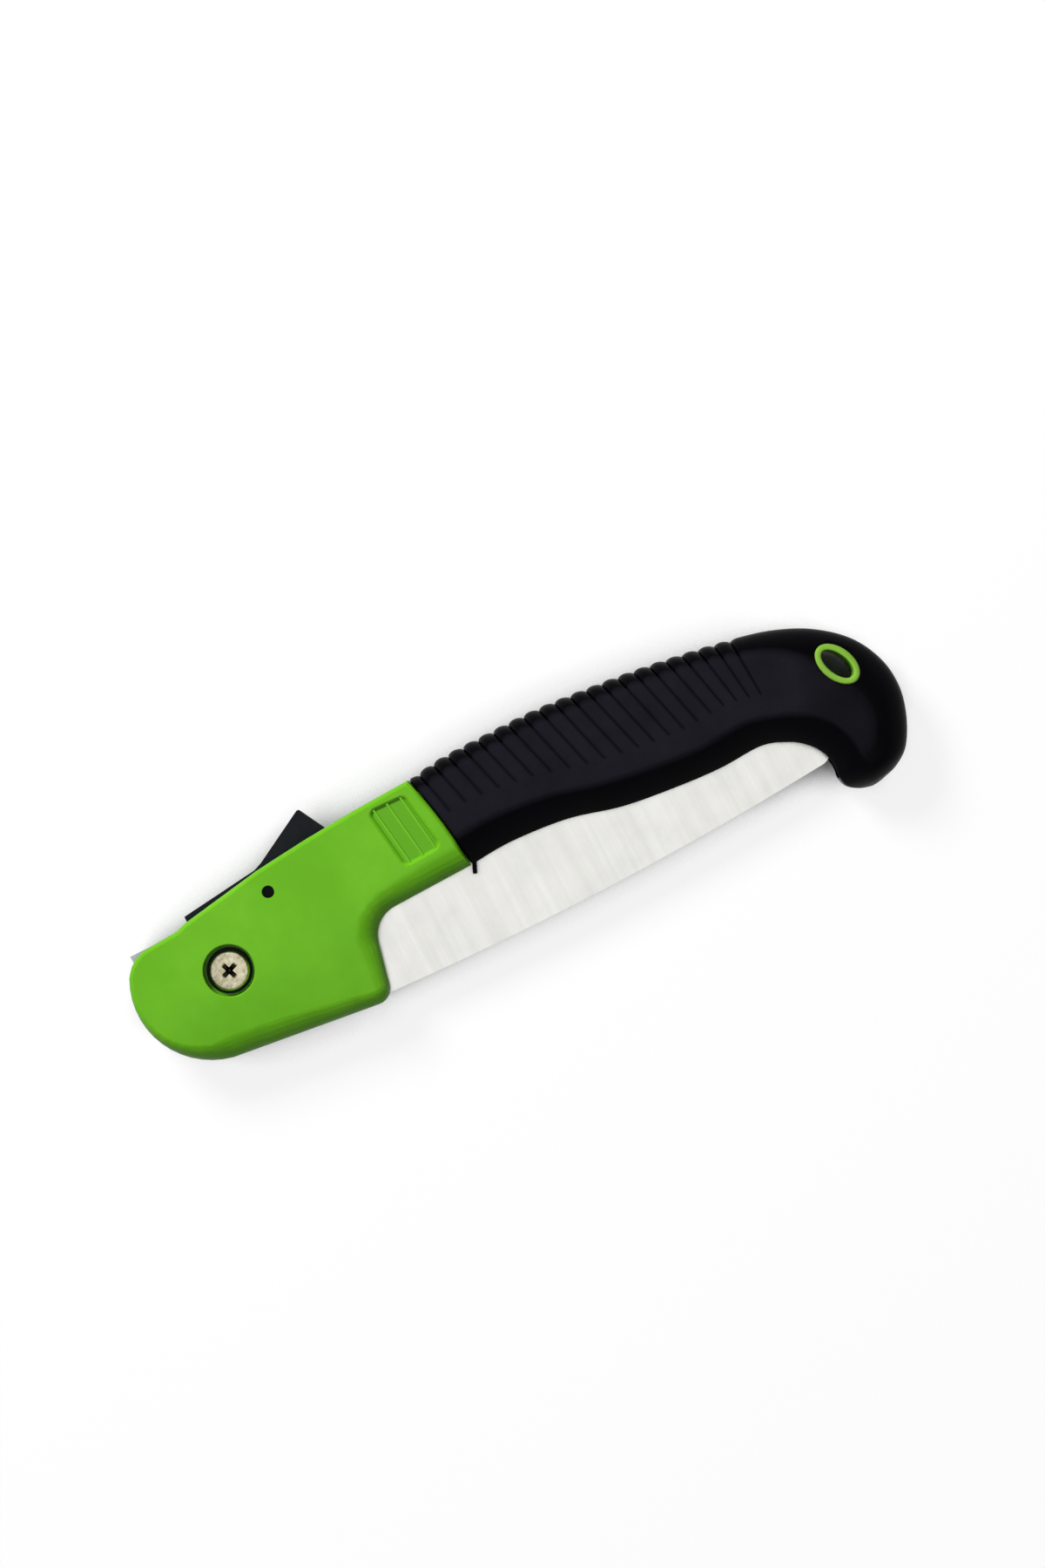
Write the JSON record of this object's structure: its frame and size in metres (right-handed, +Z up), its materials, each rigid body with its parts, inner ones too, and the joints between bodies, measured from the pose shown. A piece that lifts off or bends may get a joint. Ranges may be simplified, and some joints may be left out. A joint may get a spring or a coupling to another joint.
{
  "type": "folding pruning saw",
  "caption": "Folding pruning saw, folded: green moulded handle with a ribbed hooked rubber grip and lanyard eye, toothed steel blade on a screw pivot, sprung thumb lever lock.",
  "frame": {"origin": "the blade pivot's axis where it meets the plane that the folded saw lies on", "axes": "+X from the pivot to the hooked end, +Y to the side with the lock lever, +Z up through the thickness, out of the side with the screw's head"},
  "size_m": [0.2334, 0.0696, 0.022],
  "materials": {
    "lime_plastic": "satin moulded plastic, lime green",
    "black_rubber": "soft matt overmoulded rubber",
    "eyelet_plastic": "satin moulded plastic, lighter green",
    "blade_steel": "bright ground steel, grain across the blade",
    "turned_steel": "turned steel",
    "black_oxide": "black-oxide steel",
    "nickel_plate": "worn nickel plate",
    "nylon": "natural nylon",
    "liner_steel": "rolled sheet steel",
    "lever_plastic": "matt charcoal plastic",
    "spring_steel": "drawn spring wire"
  },
  "bodies": {
    "handle": {"handle_core": "lime_plastic", "grip_overmould": "black_rubber", "lanyard_eyelet": "eyelet_plastic", "pivot_bush": "turned_steel", "pivot_screw": "nickel_plate", "screw_washer": "black_oxide", "pivot_nut": "nickel_plate", "upper_blade_washer": "nylon", "lower_blade_washer": "nylon", "upper_liner": "liner_steel", "lower_liner": "liner_steel", "lever_pin": "black_oxide", "lever_spring": "spring_steel"},
    "saw_blade": {"blade": "blade_steel"},
    "lever": {"lock_lever": "lever_plastic"}
  },
  "joints": [
    {"name": "blade_fold", "type": "hinge", "parent": "handle", "child": "saw_blade", "pos_m": [0, 0, 0.011], "axis": [0, 0, -1], "range_deg": [0, 165]},
    {"name": "lever_press", "type": "hinge", "parent": "handle", "child": "lever", "pos_m": [0.02, 0.0145, 0.011], "axis": [0, 0, -1], "range_deg": [-5, 4], "stiffness_Nm_per_rad": 1.8, "deforming": ["lever_spring"]}
  ]
}
